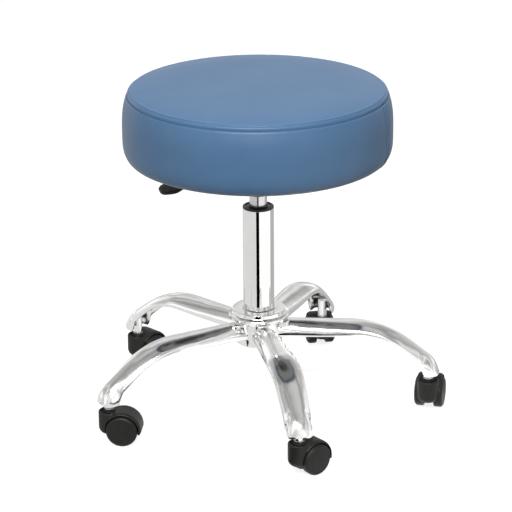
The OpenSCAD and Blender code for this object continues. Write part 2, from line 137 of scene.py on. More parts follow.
def capped_grid(grid, wrap_rows=False):
    """A closed shell from grid[row, col, xyz], round along the columns; each end row is closed by a fan."""
    rows, cols = grid.shape[:2]
    points = grid.reshape(-1, 3)
    faces = [grid_quads(rows, cols, wrap_rows, True)]
    if not wrap_rows:
        points = np.concatenate([points, [grid[0].mean(0), grid[-1].mean(0)]])
        first, last = np.arange(cols), np.arange(cols) + (rows - 1) * cols
        faces += [fan(first, rows * cols), fan(last[::-1], rows * cols + 1)]
    return outward((points, faces))


# %% Profiles with rounded corners, and surfaces of revolution


def rounded(corners, radii, steps=6, closed=True):
    """Rounds the corners of an outline with true arcs.
    With h half the corner's angle, the arc touches both sides at radius / tan(h) from the corner. It is drawn
    as the rational curve ((1-t)^2 a + 2t(1-t)w c + t^2 b) / ((1-t)^2 + 2t(1-t)w + t^2), with w = sin(h)."""
    c = np.asarray(corners, float)
    to_last = np.roll(c, 1, 0) - c
    to_next = np.roll(c, -1, 0) - c
    far_last, far_next = np.linalg.norm(to_last, axis=1), np.linalg.norm(to_next, axis=1)
    u, v = to_last / far_last[:, None], to_next / far_next[:, None]
    h = np.arccos(np.clip((u * v).sum(1), -1, 1)) / 2
    room = 0.48 * np.minimum(far_last, far_next)
    d = np.minimum(np.broadcast_to(radii, len(c)) / np.tan(np.maximum(h, 1e-3)), room)
    a, b = c + u * d[:, None], c + v * d[:, None]
    t = np.linspace(0, 1, steps)[:, None]
    w = np.sin(h)[:, None, None]
    low = (1 - t) ** 2 + 2 * t * (1 - t) * w + t ** 2
    arcs = ((1 - t) ** 2 * a[:, None] + 2 * t * (1 - t) * w * c[:, None] + t ** 2 * b[:, None]) / low
    if closed:
        return arcs.reshape(-1, 2)
    return np.concatenate([c[:1], arcs[1:-1].reshape(-1, 2), c[-1:]])


def revolve(profile, segments=96, closed=True):
    """Turns a profile of (r, z) round Z: x = r cos t, y = r sin t. A closed profile makes a ring; an open one
    starts and ends on the axis, and each of those ends becomes a pole."""
    t = np.linspace(0, 2 * np.pi, segments, endpoint=False)
    body = profile if closed else profile[1:-1]
    r, z = body[:, :1], body[:, 1:]
    grid = np.stack([r * np.cos(t), r * np.sin(t), z + 0 * t], -1)
    if closed:
        return capped_grid(grid, wrap_rows=True)
    points, faces = capped_grid(grid)
    points[-2:] = [[0, 0, profile[0, 1]], [0, 0, profile[-1, 1]]]
    return outward((points, faces))


def turned(shell, angle, move=(0, 0, 0)):
    """A shell turned about Z and then moved."""
    points, faces = shell
    c, s = math.cos(angle), math.sin(angle)
    return points @ np.array([[c, s, 0], [-s, c, 0], [0, 0, 1]]) + np.array(move), faces


# %% From shells to pieces


def make_mesh(name, shell, smooth=True):
    """A mesh from a shell in millimetres, written in whole arrays."""
    points, faces = shell
    mesh = bpy.data.meshes.new(name)
    mesh.vertices.add(len(points))
    mesh.vertices.foreach_set("co", (points * MM).astype(np.float32).ravel())
    sizes = np.concatenate([np.full(len(f), f.shape[1]) for f in faces])
    corners = np.concatenate([f.ravel() for f in faces])
    mesh.loops.add(len(corners))
    mesh.loops.foreach_set("vertex_index", corners.astype(np.int32))
    mesh.polygons.add(len(sizes))
    starts = np.concatenate([[0], np.cumsum(sizes)[:-1]])
    mesh.polygons.foreach_set("loop_start", starts.astype(np.int32))
    mesh.polygons.foreach_set("use_smooth", np.full(len(sizes), smooth))
    mesh.update(calc_edges=True)
    mesh.validate()
    return mesh


def add_piece(name, shell, material, body, replaces=()):
    """Puts a shell into the scene as a finished piece, at the origin, riding on a body."""
    mesh = shell if isinstance(shell, bpy.types.Mesh) else make_mesh(name, shell)
    piece = bpy.data.objects.new(name, mesh)
    bpy.context.scene.collection.objects.link(piece)
    mesh.materials.clear()
    mesh.materials.append(material)
    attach(piece, body)
    if replaces:
        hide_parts(*replaces)
    return piece


# %% [markdown]
# ## Finishes
# A finish is a small set of nodes on the Principled shader. What several finishes share is a node group built
# once: the pebbled grain of vinyl and moulded plastic, the marks that hands and cloths leave on metal, and
# the dust that settles low on the casters. The groups give only values, and each material uses them its way.

# %% Helpers for node trees


def node(tree, kind, inputs=None, **settings):
    """Adds a node. An input is given as a value, or as another node's output to link from."""
    made = tree.nodes.new("ShaderNode" + kind)
    for key, value in settings.items():
        setattr(made, key, value)
    for key, value in (inputs or {}).items():
        if isinstance(value, bpy.types.NodeSocket):
            tree.links.new(value, made.inputs[key])
        else:
            made.inputs[key].default_value = value
    return made


def maths(tree, operation, a, b=0.0, c=0.0):
    """A Math node's result."""
    return node(tree, "Math", {0: a, 1: b, 2: c}, operation=operation).outputs[0]


def ramp(tree, value, low, high, to_low=0.0, to_high=1.0):
    """Maps value from low..high to to_low..to_high, held at the ends."""
    inputs = {"Value": value, "From Min": low, "From Max": high, "To Min": to_low, "To Max": to_high}
    return node(tree, "MapRange", inputs).outputs[0]


def mixed(tree, share, a, b):
    """Colour a where share is 0 and colour b where it is 1."""
    made = node(tree, "Mix", data_type="RGBA", clamp_factor=True)
    for key, value in ((0, share), (6, a), (7, b)):
        if isinstance(value, bpy.types.NodeSocket):
            tree.links.new(value, made.inputs[key])
        else:
            made.inputs[key].default_value = value
    return made.outputs[2]


def new_group(name, inputs, outputs):
    """An empty node group with float inputs and outputs, and a Vector input first."""
    tree = bpy.data.node_groups.new(name, "ShaderNodeTree")
    tree.interface.new_socket(name="Vector", in_out="INPUT", socket_type="NodeSocketVector")
    for label, value in inputs.items():
        made = tree.interface.new_socket(name=label, in_out="INPUT", socket_type="NodeSocketFloat")
        made.default_value = value
    for label in outputs:
        tree.interface.new_socket(name=label, in_out="OUTPUT", socket_type="NodeSocketFloat")
    return tree, tree.nodes.new("NodeGroupInput"), tree.nodes.new("NodeGroupOutput")


def colour(red, green, blue):
    """A colour with full alpha, from linear values."""
    return (red, green, blue, 1.0)


# %% Shared groups: grain, handling marks and settled dust
grain, grain_in, grain_out = new_group("pebble_grain", {"Cells per metre": 900.0}, ["Height", "Cloud"])
cells = node(grain, "TexVoronoi", {"Vector": grain_in.outputs["Vector"],
                                   "Scale": grain_in.outputs["Cells per metre"], "Randomness": 1.0},
             feature="SMOOTH_F1")
fine = node(grain, "TexNoise", {"Vector": grain_in.outputs["Vector"],
                                "Scale": grain_in.outputs["Cells per metre"], "Detail": 3.0})
cloud = node(grain, "TexNoise", {"Vector": grain_in.outputs["Vector"], "Scale": 14.0, "Detail": 4.0})
grain.links.new(maths(grain, "MULTIPLY_ADD", fine.outputs["Fac"], 0.5, cells.outputs["Distance"]),
                grain_out.inputs["Height"])
grain.links.new(ramp(grain, cloud.outputs["Fac"], 0.3, 0.7), grain_out.inputs["Cloud"])

marks, marks_in, marks_out = new_group("handling_marks", {"Smear length": 6.0}, ["Smudge", "Scratch"])
smear = node(marks, "TexNoise", {"Vector": marks_in.outputs["Vector"], "Scale": 22.0, "Detail": 5.0,
                                 "Distortion": 0.6})
stretch = node(marks, "CombineXYZ", {"X": 1.0, "Y": 1.0, "Z": marks_in.outputs["Smear length"]})
lines_at = node(marks, "VectorMath", {0: marks_in.outputs["Vector"], 1: stretch.outputs[0]},
                operation="MULTIPLY")
lines = node(marks, "TexNoise", {"Vector": lines_at.outputs[0], "Scale": 700.0, "Detail": 3.0})
marks.links.new(ramp(marks, smear.outputs["Fac"], 0.42, 0.68), marks_out.inputs["Smudge"])
marks.links.new(ramp(marks, lines.outputs["Fac"], 0.35, 0.75), marks_out.inputs["Scratch"])

dust, dust_in, dust_out = new_group("settled_dust", {"Clear above": 0.06}, ["Dust"])
dust_at = node(dust, "SeparateXYZ", {"Vector": dust_in.outputs["Vector"]})
speckle = node(dust, "TexNoise", {"Vector": dust_in.outputs["Vector"], "Scale": 160.0, "Detail": 6.0,
                                  "Roughness": 0.7})
low_down = ramp(dust, dust_at.outputs["Z"], 0.0, dust_in.outputs["Clear above"], 1.0, 0.0)
dust.links.new(maths(dust, "MULTIPLY", low_down, ramp(dust, speckle.outputs["Fac"], 0.45, 0.75)),
               dust_out.inputs["Dust"])
print("groups", [g.name for g in bpy.data.node_groups])

# %% One start for every material


def new_material(name, **constants):
    """A Principled material. Constants go straight onto the shader's own sockets.
    Returns the material, its tree, its shader and the Object coordinates."""
    made = bpy.data.materials.new(name)
    made.use_nodes = True
    tree = made.node_tree
    shader = tree.nodes["Principled BSDF"]
    for key, value in constants.items():
        shader.inputs[key.replace("_", " ")].default_value = value
    return made, tree, shader, tree.nodes.new("ShaderNodeTexCoord").outputs["Object"]


def use_group(tree, group, inputs):
    """Places a node group in a material."""
    made = tree.nodes.new("ShaderNodeGroup")
    made.node_tree = group
    for key, value in inputs.items():
        if isinstance(value, bpy.types.NodeSocket):
            tree.links.new(value, made.inputs[key])
        else:
            made.inputs[key].default_value = value
    return made


def add_bump(tree, shader, height, distance, strength=1.0):
    """Feeds a height through a Bump node to the shader's Normal. The distance is in metres."""
    made = node(tree, "Bump", {"Strength": strength, "Distance": distance, "Height": height})
    tree.links.new(made.outputs["Normal"], shader.inputs["Normal"])


# %% [markdown]
# ### Satin vinyl
# Upholstery vinyl is a soft plastic skin with a fine pebbled grain. It is a plain colour, a little lighter
# where the grain stands up and polished, so the cells drive a small change of colour and of roughness, and a
# shallow bump breaks the highlights into the soft sheen that a satin cover has.

# %% Vinyl and thread


def vinyl(name, base, light):
    """Blue satin upholstery vinyl."""
    made, tree, shader, place = new_material(name, Roughness=0.42, Specular_IOR_Level=0.25,
                                             Coat_Roughness=0.24, Coat_Weight=0.08)
    pebbles = use_group(tree, grain, {"Vector": place, "Cells per metre": 1100.0})
    share = maths(tree, "MULTIPLY_ADD", pebbles.outputs["Cloud"], 0.45,
                  maths(tree, "MULTIPLY", pebbles.outputs["Height"], 0.5))
    tree.links.new(mixed(tree, share, base, light), shader.inputs["Base Color"])
    tree.links.new(ramp(tree, pebbles.outputs["Height"], 0.2, 1.0, 0.33, 0.47), shader.inputs["Roughness"])
    add_bump(tree, shader, pebbles.outputs["Height"], 0.00014, 0.7)
    return made


blue_vinyl = vinyl("blue_vinyl", colour(0.044, 0.104, 0.196), colour(0.060, 0.128, 0.232))

thread_blue, thread_tree, thread_shader, thread_place = new_material("sewing_thread", Roughness=0.65)
twist = node(thread_tree, "TexWave", {"Vector": thread_place, "Scale": 900.0, "Distortion": 1.5},
             bands_direction="DIAGONAL")
thread_tree.links.new(mixed(thread_tree, twist.outputs["Fac"], colour(0.012, 0.032, 0.075),
                            colour(0.03, 0.07, 0.14)), thread_shader.inputs["Base Color"])
add_bump(thread_tree, thread_shader, twist.outputs["Fac"], 0.0001, 0.6)

# %% [markdown]
# ### Metals
# Chrome plate is nearly a mirror: only smudges and hairlines change its roughness. The casting is polished
# aluminium, a little paler and softer than chrome, with polishing lines and the slow waves that a hand-held
# wheel leaves. Ground and plated steel are rougher, with lines along the way they were made.

# %% Chrome, aluminium, steels and brass


def polishing_waves(tree, shader, place, depth):
    """Slow waves from hand polishing, `depth` metres deep, laid under the bump that the shader has already.
    The hub is turned on a lathe, so it is truer and brighter than the arms: within hub_true metres of the
    axis the waves and the roughness fall to hub_share, and by arm_full they are whole."""
    hub_true, arm_full, hub_share = 0.046, 0.056, 0.25
    slow = node(tree, "TexNoise", {"Vector": place, "Scale": 26.0, "Detail": 1.0})
    spot = node(tree, "SeparateXYZ", {"Vector": place})
    flat = node(tree, "CombineXYZ", {"X": spot.outputs["X"], "Y": spot.outputs["Y"]})
    from_axis = node(tree, "VectorMath", {0: flat.outputs[0]}, operation="LENGTH").outputs["Value"]
    on_arm = ramp(tree, from_axis, hub_true, arm_full, hub_share, 1.0)
    wavy = node(tree, "Bump", {"Strength": on_arm, "Distance": depth, "Height": slow.outputs["Fac"]})
    fine_bump = shader.inputs["Normal"].links[0].from_node
    tree.links.new(wavy.outputs["Normal"], fine_bump.inputs["Normal"])
    by_hand = shader.inputs["Roughness"].links[0].from_socket
    tree.links.new(maths(tree, "MULTIPLY", by_hand, on_arm), shader.inputs["Roughness"])


def metal(name, tone, dull, rough, shiny, smear=6.0, depth=0.00001, waves=0.0):
    """Bare metal: smudges take the colour from tone to dull and the roughness from shiny to rough, and
    hairlines give a very shallow bump, `depth` metres deep."""
    made, tree, shader, place = new_material(name, Metallic=1.0, Roughness=shiny)
    worn = use_group(tree, marks, {"Vector": place, "Smear length": smear})
    tree.links.new(mixed(tree, worn.outputs["Smudge"], tone, dull), shader.inputs["Base Color"])
    both = maths(tree, "MULTIPLY_ADD", worn.outputs["Scratch"], 0.35,
                 maths(tree, "MULTIPLY", worn.outputs["Smudge"], 0.65))
    tree.links.new(ramp(tree, both, 0.0, 1.0, shiny, rough), shader.inputs["Roughness"])
    add_bump(tree, shader, worn.outputs["Scratch"], depth, 0.25)
    if waves:
        polishing_waves(tree, shader, place, waves)
    return made


chrome = metal("chrome_plate", colour(0.80, 0.80, 0.79), colour(0.76, 0.76, 0.75), 0.07, 0.03, 0.1, 0.000002)
aluminium = metal("polished_aluminium", colour(0.84, 0.84, 0.83), colour(0.80, 0.80, 0.79), 0.24, 0.13, 3.0,
                  0.000006, 0.0018)
ground_steel = metal("ground_steel", colour(0.62, 0.62, 0.62), colour(0.55, 0.55, 0.55), 0.28, 0.18, 14.0)
bare_steel = metal("bare_steel", colour(0.55, 0.55, 0.56), colour(0.45, 0.45, 0.46), 0.4, 0.28)
zinc = metal("zinc_plate", colour(0.66, 0.68, 0.70), colour(0.52, 0.54, 0.57), 0.42, 0.25)
brass = metal("brass", colour(0.72, 0.55, 0.26), colour(0.6, 0.45, 0.2), 0.35, 0.2)

# %% [markdown]
# ### Plastics, paint and rubber
# Moulded plastic has the fine spark-eroded texture of its tool: a shallow grain and a mid roughness. Near the
# floor it carries a little grey dust. Powder coat is smoother and shinier, with orange peel.

# %% Black plastics, paint and rubber


def moulded(name, base, light, rough, cells_per_m, depth, dusty=0.0, **constants):
    """Moulded or coated black surface, with grain, faint clouds and dust near the floor."""
    made, tree, shader, place = new_material(name, Roughness=rough, **constants)
    pebbles = use_group(tree, grain, {"Vector": place, "Cells per metre": cells_per_m})
    tone = mixed(tree, pebbles.outputs["Cloud"], base, light)
    if dusty:
        settled = use_group(tree, dust, {"Vector": place, "Clear above": 0.07})
        share = maths(tree, "MULTIPLY", settled.outputs["Dust"], dusty)
        tone = mixed(tree, share, tone, colour(0.16, 0.155, 0.145))
    tree.links.new(tone, shader.inputs["Base Color"])
    tree.links.new(ramp(tree, pebbles.outputs["Cloud"], 0.0, 1.0, rough * 0.88, rough * 1.12),
                   shader.inputs["Roughness"])
    add_bump(tree, shader, pebbles.outputs["Height"], depth, 0.6)
    return made


caster_plastic = moulded("caster_plastic", colour(0.008, 0.0085, 0.007), colour(0.011, 0.0115, 0.01), 0.5,
                         2600.0, 0.00005, 0.06, Specular_IOR_Level=0.25)
wheel_plastic = moulded("wheel_plastic", colour(0.008, 0.0085, 0.007), colour(0.011, 0.0115, 0.01), 0.5,
                        2200.0, 0.00004, 0.06, Specular_IOR_Level=0.22)
bush_plastic = moulded("bush_plastic", colour(0.01, 0.01, 0.01), colour(0.015, 0.015, 0.015), 0.35, 2600.0,
                       0.00003)
lever_plastic = moulded("lever_plastic", colour(0.008, 0.008, 0.0075), colour(0.011, 0.011, 0.0105), 0.5,
                        2400.0, 0.00005, Specular_IOR_Level=0.25)
powder_coat = moulded("black_powder_coat", colour(0.014, 0.014, 0.015), colour(0.02, 0.02, 0.021), 0.32,
                      700.0, 0.00006, 0.0, Coat_Weight=0.3, Coat_Roughness=0.2)
rubber = moulded("black_rubber", colour(0.02, 0.02, 0.02), colour(0.03, 0.03, 0.03), 0.7, 1500.0, 0.00004)

# %% Plywood and the non-woven cloth under the seat
plywood, ply_tree, ply_shader, ply_place = new_material("plywood", Roughness=0.6)
figure = node(ply_tree, "Mapping", {"Vector": ply_place, "Scale": (14.0, 90.0, 400.0)})
rings = node(ply_tree, "TexNoise", {"Vector": figure.outputs[0], "Scale": 1.0, "Detail": 6.0,
                                    "Distortion": 1.2})
ply_tree.links.new(mixed(ply_tree, rings.outputs["Fac"], colour(0.40, 0.25, 0.13), colour(0.62, 0.45, 0.27)),
                   ply_shader.inputs["Base Color"])
add_bump(ply_tree, ply_shader, rings.outputs["Fac"], 0.0002, 0.4)

dust_cloth, cloth_tree, cloth_shader, cloth_place = new_material("non_woven_cloth", Roughness=0.9,
                                                                 Sheen_Weight=0.4, Sheen_Roughness=0.5)
bonds = node(cloth_tree, "TexVoronoi", {"Vector": cloth_place, "Scale": 420.0, "Randomness": 0.15})
fibres = node(cloth_tree, "TexNoise", {"Vector": cloth_place, "Scale": 1500.0, "Detail": 4.0})
weave = maths(cloth_tree, "MULTIPLY_ADD", fibres.outputs["Fac"], 0.6, bonds.outputs["Distance"])
cloth_tree.links.new(mixed(cloth_tree, weave, colour(0.58, 0.58, 0.57), colour(0.74, 0.74, 0.73)),
                     cloth_shader.inputs["Base Color"])
add_bump(cloth_tree, cloth_shader, weave, 0.0003, 0.7)
print("materials", len(bpy.data.materials))

# %% [markdown]
# ## CAD parts that keep their shape
# The parts inside the gas lift and the seat are right as they are. Each takes a finish by its material slot.

# %% A finish for every CAD part
# The foam lies inside the cushion, where nothing shows it, so it needs no finish of its own
BY_SLOT = {
    "polished_aluminium": aluminium, "chrome": chrome, "black_plastic": bush_plastic,
    "caster_plastic": caster_plastic, "bare_steel": bare_steel, "brass_cage": brass, "rubber": rubber,
    "satin_steel": ground_steel, "black_paint": powder_coat, "zinc_steel": zinc, "plywood": plywood,
    "foam": plywood, "blue_vinyl": blue_vinyl, "grey_cloth": dust_cloth,
}
for part in frame["record"]["subparts"]:
    kept = frame["nodes"][part["node"]]
    kept.data.materials.clear()
    kept.data.materials.append(BY_SLOT[part["material_slot"]])
print("finished", len(frame["nodes"]), "CAD parts")

# %% [markdown]
# ## The star base
# The real base is one gravity-cast aluminium piece, ground and polished: a hub with a collar, and five arms
# that arch out and down to the casters, hollow underneath. Each arm is a section carried along the radius.
# The section is a closed cubic B-spline, so its shoulders and lips are as soft as polishing leaves them, and
# against the hub it dips a little and widens in a small fillet. A boolean of solids would leave hard joints
# where the metal flows.

# %% How high and how wide an arm is
arm_top_z = 151.6
arm_depth = 16.6
arm_bend = {"start": stem_circle - 125, "radius": 151.3, "angle": math.radians(36.5), "height": arm_top_z}
under_bend = {"start": arm_bend["start"] + 13, "radius": 108.9, "angle": math.radians(40),
              "height": arm_top_z - arm_depth}
arm_tip_r = stem_circle + 18
arm_tip_from, arm_tip_bend = stem_circle - 2, 50.0
arm_cut_z = 66.0
nose_z = 70.0
hub_r = 36.2
fillet_r = 2.5
root_dip_r, root_dip = 52.0, 3.2
root_half, widest_half, widest_r, tip_slimmer = 18.0, 25.0, 165.0, 4.2
channel_share, least_channel = 0.62, 0.8


def arched(r, start, radius, angle, height):
    """Height of a line that is level to start, bends down on an arc, and then falls straight at angle."""
    end = start + radius * math.sin(angle)
    arc = height - radius + np.sqrt(np.maximum(radius ** 2 - (r - start) ** 2, 0))
    fall = height - radius * (1 - math.cos(angle)) - (r - end) * math.tan(angle)
    return np.where(r < start, height, np.where(r < end, arc, fall))


def arm_sizes(r):
    """Top height, bottom height, half width and channel depth of an arm at radius r, all as arrays.
    Past the stem a superellipse narrows the tip by sqrt(1 - k^2.4), k from 0 to 1, and over the last 5 mm
    a quarter circle brings top and bottom together."""
    top = arched(r, **arm_bend)
    lean = np.clip(math.sin(arm_bend["angle"]) + (r - arm_tip_from) / arm_tip_bend, 0, 0.999)
    fall = arm_tip_bend * (math.cos(arm_bend["angle"]) - np.sqrt(1 - lean ** 2))
    last = arched(np.array([arm_tip_from]), **arm_bend)
    top = np.where(r < arm_tip_from, top, last - fall)
    top = top - root_dip * np.clip((root_dip_r - r) / 15, 0, 1) ** 2
    low = arched(r, **under_bend)
    low = low - 0.055 * np.maximum(under_bend["start"] - r, 0)
    foot = stem_circle - 13
    low = np.maximum(arm_cut_z, low - 2.1 * np.maximum(r - foot, 0))
    grow = np.clip((r - 34) / (widest_r - 34), 0, 1)
    wide = root_half + (widest_half - root_half) * np.sin(np.pi / 2 * grow) ** 1.3
    close = np.clip((r - widest_r) / (stem_circle + 1 - widest_r), 0, 1)
    wide = np.where(r < widest_r, wide, widest_half - tip_slimmer * (1 - np.cos(np.pi / 2 * close)))
    k = np.clip((r - stem_circle - 1) / (arm_tip_r - stem_circle - 1), 0, 1)
    wide = wide * np.sqrt(1 - k ** 2.4)
    nose = np.sqrt(1 - np.clip((r - arm_tip_r + 5) / 5, 0, 1) ** 2)
    low, top = nose_z + (low - nose_z) * nose, nose_z + 0.4 + (top - nose_z - 0.4) * nose
    fade = np.clip((r - 55) / 60, 0, 1) * np.clip((stem_circle + 13 - r) / 5, 0, 1)
    return top, low, wide, np.maximum(least_channel, channel_share * (top - low) * fade)


def spline_rows(count, samples):
    """Weights that turn `count` control points of a closed uniform cubic B-spline into samples points."""
    t = np.arange(samples) * count / samples
    i, f = t.astype(int), t % 1
    weights = [(1 - f) ** 3, 3 * f ** 3 - 6 * f ** 2 + 4, -3 * f ** 3 + 3 * f ** 2 + 3 * f + 1, f ** 3]
    rows = np.zeros((samples, count))
    for shift, w in enumerate(weights):
        rows[np.arange(samples), (i + shift - 1) % count] += w / 6
    return rows


# %% Arms, hub and stem bosses as one casting


def arm_shell():
    """One arm along +X, from inside the hub to a rounded nose."""
    r = np.concatenate([[hub_r - 3.5, hub_r - 2], hub_r + fillet_r * (1 - np.cos(np.linspace(0.1, 1.5, 8))),
                        np.linspace(40, 276, 82), stem_circle + 18 * np.sin(np.linspace(0.09, 1.5, 22))])
    top, low, w, channel = arm_sizes(r)
    q = np.clip(1 - (r - hub_r) / fillet_r, 0, 1)
    flare = fillet_r * (1 - np.sqrt(1 - np.minimum(q, 0.999) ** 2))
    w, low = w + 0.7 * flare, low - 0.5 * flare
    h = top - low
    k = np.minimum(1, w / 20) * np.minimum(1, h / 6)
    crown = np.minimum(1.8, h * 0.25)
    lip = np.minimum(1.0, channel)
    half = [[0 * w, top + crown], [0.28 * w, top + 0.85 * crown], [0.52 * w, top + 0.05 * crown],
            [0.76 * w, top - 0.22 * h], [0.95 * w, top - 0.45 * h], [1.02 * w, low + 0.24 * h],
            [w, low - 0.2 * k], [w - 1.2 * k, low - 0.6 * k], [w - 4.2 * k, low - 0.6 * lip * k],
            [w - 5.2 * k, low + 0.25 * channel], [w - 6.6 * k, low + 0.85 * channel],
            [0.4 * w, low + 1.02 * channel], [0 * w, low + 1.02 * channel]]
    right = np.array([[y, z] for y, z in half]).transpose(2, 0, 1)
    left = right[:, -2:0:-1] * [-1, 1]
    control = np.concatenate([right, left], 1)
    section = np.einsum("sc,rck->rsk", spline_rows(control.shape[1], 96), control)
    y, z = section[..., 0], section[..., 1]
    near = np.clip((95 - r) / 45, 0, 1)[:, None]
    around = np.sqrt(np.maximum(r[:, None] ** 2 - y ** 2, 0))
    x = r[:, None] * (1 - near) + around * near
    return capped_grid(np.stack([x, y, z], -1))


hub_corners = [(column_r, 113), (35.2, 113), (37, 114.8), (37.4, 126), (36, 151), (37.6, 154.4), (46, 156.8),
               (48.8, 160.2), (49.2, 162.6), (48.4, 164), (42.9, 165.2), (42.6, 171.2), (41.8, 172),
               (column_r + 2.4, 172), (column_r, 169.8)]
hub_radii = [0.4, 1, 1, 12, 2.5, 2, 2, 0.8, 0.6, 0.6, 1.5, 0.4, 0.4, 0.5, 0.3]
boss_radius = 7.7
boss_corners = [(0, 58.6), (boss_radius, 58.6), (boss_radius, 88), (0, 88)]
arm = arm_shell()
boss = revolve(rounded(boss_corners, [0, 0.8, 1.5, 0], closed=False), 48, closed=False)
casting = [revolve(rounded(hub_corners, hub_radii, 8), 192)]
casting += [turned(arm, turn) for turn in arm_turns]
casting += [turned(boss, 0, (*place, 0)) for place in stem_places]
star = add_piece("star_casting", joined(casting), aluminium, "base", ["star_base"])
print("star base faces", len(star.data.polygons))

# %% [markdown]
# ## Column, bush and pressure tube
# Turned parts are profiles spun round the column's axis. Every corner has the small radius that a real edge
# has, because a razor edge catches no light.

# %% The gas lift's outside
tube_r = reach("pressure_tube", 0, 1)
tube_low, tube_top = reach("pressure_tube", 2, 0), reach("pressure_tube", 2, 1)
column_wall = 1.6
bore_r = column_r - column_wall
column_profile = rounded([(5.6, column_low), (column_r, column_low), (column_r, column_top),
                          (bore_r, column_top), (bore_r, column_low + 4), (5.6, column_low + 4)],
                         [0.2, 1, 0.4, 0.3, 1, 0.2], 6)
add_piece("chrome_column", revolve(column_profile, 192), chrome, "base", ["column_tube"])

bush_gap = 0.05
bush_length = 60.0
bush_inner = tube_r + bush_gap
bush_corners = [(bush_inner, -bush_length), (bore_r, -bush_length), (bore_r, 0), (column_r, 0),
                (column_r, 2.8), (column_r - 2.6, 2.9), (column_r - 4.4, 1.6), (column_r - 7.5, 1.9),
                (tube_r + 1.4, 4.4), (bush_inner, 4.4)]
bush_profile = rounded([(r, column_top + z) for r, z in bush_corners],
                       [0.3, 0.3, 0.1, 0.2, 0.9, 0.8, 0.8, 0.8, 0.7, 0.3], 6)
add_piece("column_bush", revolve(bush_profile, 128), bush_plastic, "base", ["guide_bush"])

cone_drop = 30.0
pressure_profile = rounded([(tube_r - 1.8, tube_low), (tube_r, tube_low), (tube_r, tube_top - cone_drop),
                            (tube_r - 1, tube_top), (4, tube_top), (4, tube_top - 2),
                            (tube_r - 2.8, tube_top - 2), (tube_r - 1.8, tube_top - cone_drop)],
                           [0.4, 0.8, 4, 0.8, 0.3, 0.3, 0.3, 2], 6)
add_piece("lift_tube", revolve(pressure_profile, 128), ground_steel, "seat",
          ["pressure_tube"])
print("column from", round(column_low, 1), "to", round(column_top, 1), "mm")

# %% [markdown]
# ## Casters
# A twin-wheel caster is a moulded hood round a steel stem, with a wheel on each side of a web. The hood's
# wall, housing and web flow into each other, so it is made from the CAD solid: its triangles are merged, the
# solid is rebuilt on fine voxels and relaxed a little, which rounds every moulded edge and blends the joints.
# Once shaped, the one hood is turned to each place.

# %% One softened hood


def merged_copy(node_name):
    """A CAD part's mesh with its loose triangles merged, as a new object."""
    made = bpy.data.objects.new(node_name + "_copy", frame["nodes"][node_name].data.copy())
    bpy.context.scene.collection.objects.link(made)
    weld = made.modifiers.new("weld", "WELD")
    weld.merge_threshold = 0.00001
    return made


def applied(made):
    """The object's mesh with its modifiers applied; the object itself is removed."""
    graph = bpy.context.evaluated_depsgraph_get()
    mesh = bpy.data.meshes.new_from_object(made.evaluated_get(graph))
    bpy.data.objects.remove(made)
    return mesh


def mesh_points(mesh):
    """A mesh's points as an array, in metres."""
    co = np.empty(len(mesh.vertices) * 3, np.float32)
    mesh.vertices.foreach_get("co", co)
    return co.reshape(-1, 3).astype(float)


hood_voxel = 0.00075
soft_hood = merged_copy("caster_hood_1")
voxels = soft_hood.modifiers.new("voxels", "REMESH")
voxels.mode = "VOXEL"
voxels.voxel_size = hood_voxel
relax = soft_hood.modifiers.new("relax", "SMOOTH")
relax.factor = 0.5
relax.iterations = 9
hood_mesh = applied(soft_hood)
hood_mesh.polygons.foreach_set("use_smooth", np.full(len(hood_mesh.polygons), True))
hood_home = mesh_points(hood_mesh) / MM - [*stem_places[0], 0]
print("hood faces", len(hood_mesh.polygons))


# %% Wheels and stems, and a caster at each arm


def placed(mesh, points, name):
    """A copy of a mesh with new points, in millimetres."""
    made = mesh.copy()
    made.name = name
    made.vertices.foreach_set("co", (points * MM).astype(np.float32).ravel())
    made.update()
    return made


def lying(shell, side):
    """Lays a shell turned round Z onto the axle: its Z becomes +Y or -Y, and its middle the axle's place."""
    points, faces = shell
    laid = np.stack([points[:, 0] + trail, side * points[:, 2], points[:, 1] + axle_z], -1)
    return outward((laid, faces))


wheel_r = axle_z
wheel_in, wheel_out = 8.6, 23.6
wheel_corners = [(3.05, wheel_in), (7, wheel_in), (8.5, wheel_in + 7), (20, wheel_in + 7), (21.5, wheel_in),
                 (wheel_r - 0.8, wheel_in), (wheel_r, wheel_in + 1.2), (wheel_r, wheel_out - 3.6),
                 (wheel_r - 3.4, wheel_out - 0.5), (wheel_r - 5, wheel_out - 1.1), (12, wheel_out - 0.15),
                 (0, wheel_out)]
wheel_radii = [0.2, 0.5, 1.5, 1.5, 0.8, 0.6, 1.2, 3.2, 1.2, 1.5, 20, 0]
wheel_profile = rounded([(0, wheel_in + 8)] + wheel_corners, [0] + wheel_radii, 6, closed=False)
wheel = revolve(wheel_profile, 112, closed=False)

stem_low, stem_top = reach("caster_stem_1", 2, 0), reach("caster_stem_1", 2, 1)
flange_z, flange_r, stem_r = 56.4, 7.8, 5.5
stem_corners = [(0, stem_low), (stem_r, stem_low), (stem_r, flange_z), (flange_r, flange_z),
                (flange_r, flange_z + 2), (stem_r, flange_z + 2), (stem_r, stem_top - 9),
                (stem_r - 1, stem_top - 9), (stem_r - 1, stem_top - 4), (stem_r, stem_top - 4),
                (stem_r, stem_top - 1), (stem_r - 1, stem_top), (0, stem_top)]
stem = revolve(rounded(stem_corners, 0.4, 4, closed=False), 48, closed=False)

